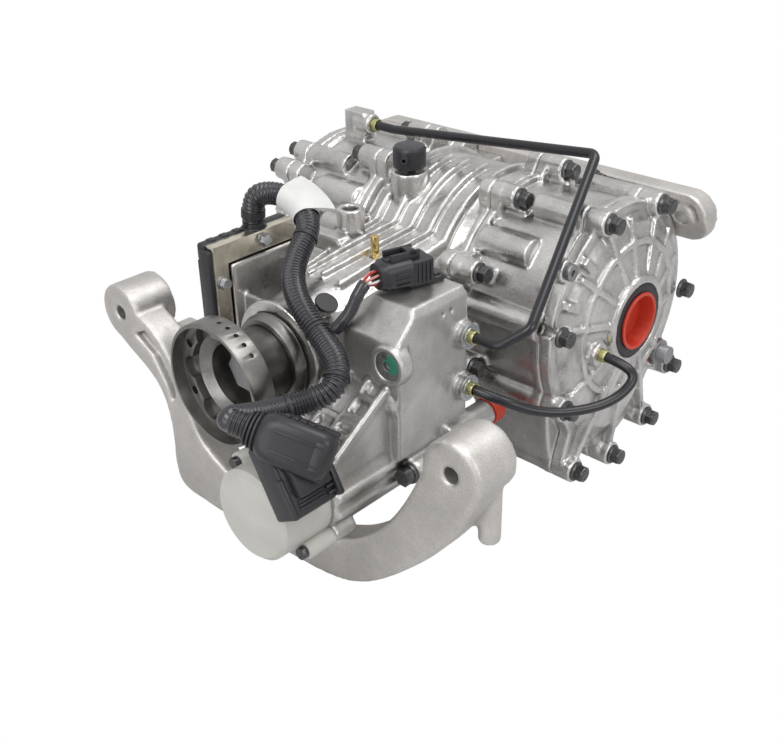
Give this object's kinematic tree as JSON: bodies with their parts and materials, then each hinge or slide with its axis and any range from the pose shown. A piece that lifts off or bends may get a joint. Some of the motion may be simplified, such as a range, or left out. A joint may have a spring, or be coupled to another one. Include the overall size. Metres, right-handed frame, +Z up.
{
  "type": "rear differential",
  "caption": "Rear axle differential with crown wheel and pinion, bevel gears, a clutch pack for each output, pump and valve block, control unit, mounting yoke and rear arm.",
  "frame": {"origin": "centre of the input flange's front rim, on the pinion axis", "axes": "+X along the axle towards the right output, -Y out of the input flange, +Z up"},
  "size_m": [0.514, 0.5409, 0.3745],
  "materials": {
    "cast_aluminium": "as cast",
    "cast_bracket": "as cast, matt",
    "machined_steel": "turned",
    "gear_steel": "ground",
    "bearing_steel": "polished",
    "phosphate_bolt": "dark phosphate",
    "zinc_fitting": "yellow zinc",
    "grey_plug": "plain",
    "washer": "coated",
    "pipe_black": "gloss black coating",
    "seal_rubber": "moulded",
    "red_plastic": "moulded",
    "black_plastic": "moulded",
    "conduit": "corrugated",
    "label": "plain",
    "brass": "turned",
    "pump_can": "pale satin",
    "friction": "paper lining"
  },
  "bodies": {
    "housing": {"main_housing": "cast_aluminium", "right_clutch_housing": "cast_aluminium", "left_clutch_housing": "cast_aluminium", "right_end_cover": "cast_aluminium", "left_end_cover": "cast_aluminium", "valve_block": "cast_aluminium", "front_bracket": "cast_bracket", "rear_arm": "cast_bracket", "housing_bolts": "phosphate_bolt", "cover_bolts": "phosphate_bolt", "mount_bolts": "phosphate_bolt", "case_screws": "phosphate_bolt", "output_seals": "seal_rubber", "pinion_seal": "seal_rubber", "axle_bearings": "bearing_steel", "pinion_bearings": "bearing_steel", "pump_cover": "pump_can", "socket_plugs": "grey_plug", "port_cap": "red_plastic", "upper_pipe": "pipe_black", "lower_pipe": "pipe_black", "pipe_collars": "zinc_fitting", "breather_cap": "black_plastic", "locating_pin": "brass", "drain_plug": "grey_plug", "drain_washer": "washer", "control_unit": "black_plastic", "control_unit_strip": "zinc_fitting", "harness_conduit": "conduit", "harness_branch": "conduit", "harness_label": "label", "harness_clip": "black_plastic", "pump_connector": "black_plastic", "connector_cover": "black_plastic", "sensor_connector": "black_plastic"},
    "pinion": {"pinion_shaft": "gear_steel", "pinion_nut": "grey_plug", "input_flange": "machined_steel", "dust_deflector": "machined_steel"},
    "carrier": {"differential_case": "gear_steel", "crown_wheel": "gear_steel", "crown_wheel_bolts": "phosphate_bolt", "cross_pin": "gear_steel", "clutch_drums": "gear_steel", "clutch_steel_plates": "gear_steel"},
    "left_output": {"left_side_gear": "gear_steel", "left_output_shaft": "machined_steel", "left_clutch_hub": "gear_steel", "left_friction_plates": "friction"},
    "right_output": {"right_side_gear": "gear_steel", "right_output_shaft": "machined_steel", "right_clutch_hub": "gear_steel", "right_friction_plates": "friction"},
    "upper_spider": {"upper_spider_gear": "gear_steel"},
    "lower_spider": {"lower_spider_gear": "gear_steel"},
    "left_piston": {"left_clutch_piston": "cast_aluminium"},
    "right_piston": {"right_clutch_piston": "cast_aluminium"},
    "pump": {"pump_rotor": "gear_steel"},
    "left_plug": {"left_transport_plug": "red_plastic"},
    "right_plug": {"right_transport_plug": "red_plastic"}
  },
  "joints": [
    {"name": "carrier_spin", "type": "hinge", "parent": "housing", "child": "carrier", "pos_m": [0, 0.356, 0], "axis": [1, 0, 0], "continuous": true},
    {"name": "pinion_spin", "type": "hinge", "parent": "housing", "child": "pinion", "pos_m": [0, 0.2, 0], "axis": [0, -1, 0], "continuous": true},
    {"name": "left_output_spin", "type": "hinge", "parent": "carrier", "child": "left_output", "pos_m": [0, 0.356, 0], "axis": [1, 0, 0], "continuous": true},
    {"name": "right_output_spin", "type": "hinge", "parent": "carrier", "child": "right_output", "pos_m": [0, 0.356, 0], "axis": [1, 0, 0], "continuous": true},
    {"name": "upper_spider_spin", "type": "hinge", "parent": "carrier", "child": "upper_spider", "pos_m": [0, 0.356, 0], "axis": [0, 0, 1], "continuous": true},
    {"name": "lower_spider_spin", "type": "hinge", "parent": "carrier", "child": "lower_spider", "pos_m": [0, 0.356, 0], "axis": [0, 0, 1], "continuous": true},
    {"name": "pump_spin", "type": "hinge", "parent": "housing", "child": "pump", "pos_m": [0.086, 0, -0.078], "axis": [0, 1, 0], "continuous": true},
    {"name": "left_piston_travel", "type": "slide", "parent": "housing", "child": "left_piston", "axis": [1, 0, 0], "range_m": [0, 0.0015]},
    {"name": "right_piston_travel", "type": "slide", "parent": "housing", "child": "right_piston", "axis": [-1, 0, 0], "range_m": [0, 0.0015]},
    {"name": "left_plug_pull", "type": "slide", "parent": "housing", "child": "left_plug", "axis": [-1, 0, 0], "range_m": [0, 0.12]},
    {"name": "right_plug_pull", "type": "slide", "parent": "housing", "child": "right_plug", "axis": [1, 0, 0], "range_m": [0, 0.12]}
  ],
  "couplings": [
    {"joint": "pinion_spin", "follows": "carrier_spin", "ratio": 3.1818},
    {"joint": "right_output_spin", "follows": "left_output_spin", "ratio": -1},
    {"joint": "upper_spider_spin", "follows": "left_output_spin", "ratio": 1.6},
    {"joint": "lower_spider_spin", "follows": "left_output_spin", "ratio": -1.6}
  ]
}
